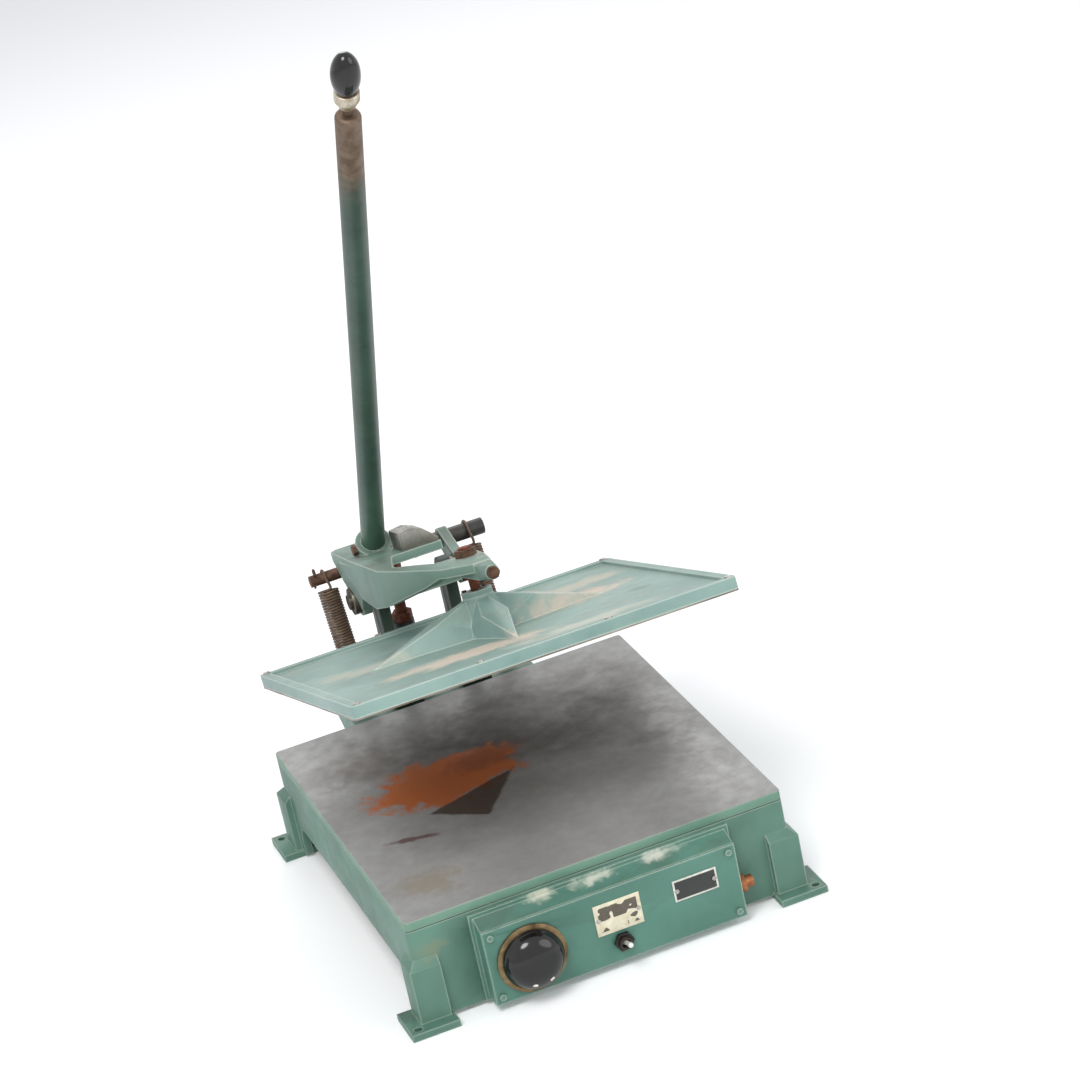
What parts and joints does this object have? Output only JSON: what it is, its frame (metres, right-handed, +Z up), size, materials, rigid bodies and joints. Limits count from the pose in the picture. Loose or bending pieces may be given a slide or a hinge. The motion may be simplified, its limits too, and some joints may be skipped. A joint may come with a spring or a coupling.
{
  "type": "dry mounting press",
  "caption": "Bench press with a heated flat bed, a ribbed platen hung from a lever arm on a ball joint, lift springs, and a control box with a dial and a toggle switch.",
  "frame": {"origin": "on the floor plane, at the centre of the four bolt holes in the feet", "axes": "+X to the right seen from the front, +Y to the rear where the arm pivots, +Z up"},
  "size_m": [0.418, 0.576, 0.8781],
  "materials": {
    "green_base": "worn satin paint over cast iron",
    "green_arm": "chalky worn paint",
    "dark_green": "worn paint",
    "platen_green": "cast, worn pale green paint",
    "sheet": "dull sheet",
    "bed_metal": "mottled bare metal, painted edge",
    "sheath": "heat-blued sheath",
    "bare_steel": "dull",
    "board": "fibrous board",
    "green_box": "worn satin paint",
    "bakelite": "moulded phenolic",
    "copper": "dull copper",
    "sleeving": "woven heat-proof sleeving",
    "dial_brass": "tarnished",
    "knob_black": "glossy",
    "black_metal": "blackened",
    "chrome_bat": "plated",
    "plate_cream": "printed sheet, blank fields",
    "plate_dark": "blank dark field, pale border",
    "rivet_metal": "bright",
    "gland_brass": "tarnished",
    "ceramic": "glazed ceramic",
    "rusty_steel": "rusty",
    "shaft_steel": "oiled",
    "bush_bronze": "bronze",
    "pole_green": "worn dark paint, bare at the top",
    "neck_steel": "brown",
    "ferrule_metal": "dull spun metal",
    "sleeve_black": "hard rubber",
    "spring_steel": "rusty brown",
    "pedestal_dark": "dark, greasy",
    "red_rust": "red rust",
    "block_steel": "bare ground steel"
  },
  "bodies": {
    "base": {"base_casting": "green_base", "rear_post_left": "dark_green", "bed_plate": "bed_metal", "heating_element": "sheath", "heater_clamp_plate": "bare_steel", "insulation_board": "board", "heater_studs": "bare_steel", "control_box": "green_box", "control_panel": "green_box", "panel_screws": "bare_steel", "box_screws": "bare_steel", "thermostat_body": "bakelite", "thermostat_bulb": "copper", "inner_leads": "sleeving", "dial_escutcheon": "dial_brass", "toggle_body": "bakelite", "toggle_nut": "black_metal", "switch_plate": "plate_cream", "rating_plate": "plate_dark", "plate_rivets": "rivet_metal", "cable_gland": "gland_brass", "gland_nut": "gland_brass", "terminal_block": "ceramic", "rear_post_right": "dark_green", "post_bolts": "rusty_steel", "pivot_shaft": "shaft_steel", "shaft_bushes": "bush_bronze", "thrust_washers": "shaft_steel", "shaft_collars": "shaft_steel", "lift_spring_left": "spring_steel", "lift_spring_right": "spring_steel", "spring_eyes": "rusty_steel", "eye_nuts": "rusty_steel", "stop_pedestal": "pedestal_dark", "stop_bolt": "red_rust", "stop_nut": "red_rust"},
    "arm": {"press_arm": "green_arm", "lever_pole": "pole_green", "lever_neck": "neck_steel", "lever_ferrule": "ferrule_metal", "lever_knob": "knob_black", "lever_set_screw": "rusty_steel", "cross_bar": "rusty_steel", "bar_sleeve": "sleeve_black", "cotter_pins": "rusty_steel", "adjusting_block": "block_steel", "block_screws": "rusty_steel", "nose_bolt": "rusty_steel", "ball_stud": "red_rust", "stud_nut": "rusty_steel"},
    "platen": {"platen": "platen_green", "boss_cap": "platen_green", "cap_screws": "rusty_steel", "face_sheet": "sheet", "rim_screws": "rivet_metal"},
    "dial": {"dial_spindle": "bare_steel", "dial_knob": "knob_black", "knob_screw": "bare_steel"},
    "toggle": {"toggle_bat": "chrome_bat"}
  },
  "joints": [
    {"name": "arm_hinge", "type": "hinge", "parent": "base", "child": "arm", "pos_m": [0, 0.258, 0.215], "axis": [1, 0, 0], "range_deg": [0, 31], "stiffness_Nm_per_rad": 22, "springref_deg": -77.35, "deforming": ["lift_spring_left", "lift_spring_right"]},
    {"name": "platen_tilt", "type": "hinge", "parent": "arm", "child": "platen", "pos_m": [0, 0.00217, 0.29405], "axis": [1, 0, 0], "range_deg": [-13.5, 0]},
    {"name": "dial_turn", "type": "hinge", "parent": "base", "child": "dial", "pos_m": [-0.084, -0.232, 0.045], "axis": [0, -1, 0], "range_deg": [0, 300]},
    {"name": "toggle_flip", "type": "hinge", "parent": "base", "child": "toggle", "pos_m": [0.004, -0.234, 0.028], "axis": [1, 0, 0], "range_deg": [0, 30]}
  ],
  "couplings": [
    {"joint": "platen_tilt", "follows": "arm_hinge", "ratio": -0.41935}
  ]
}
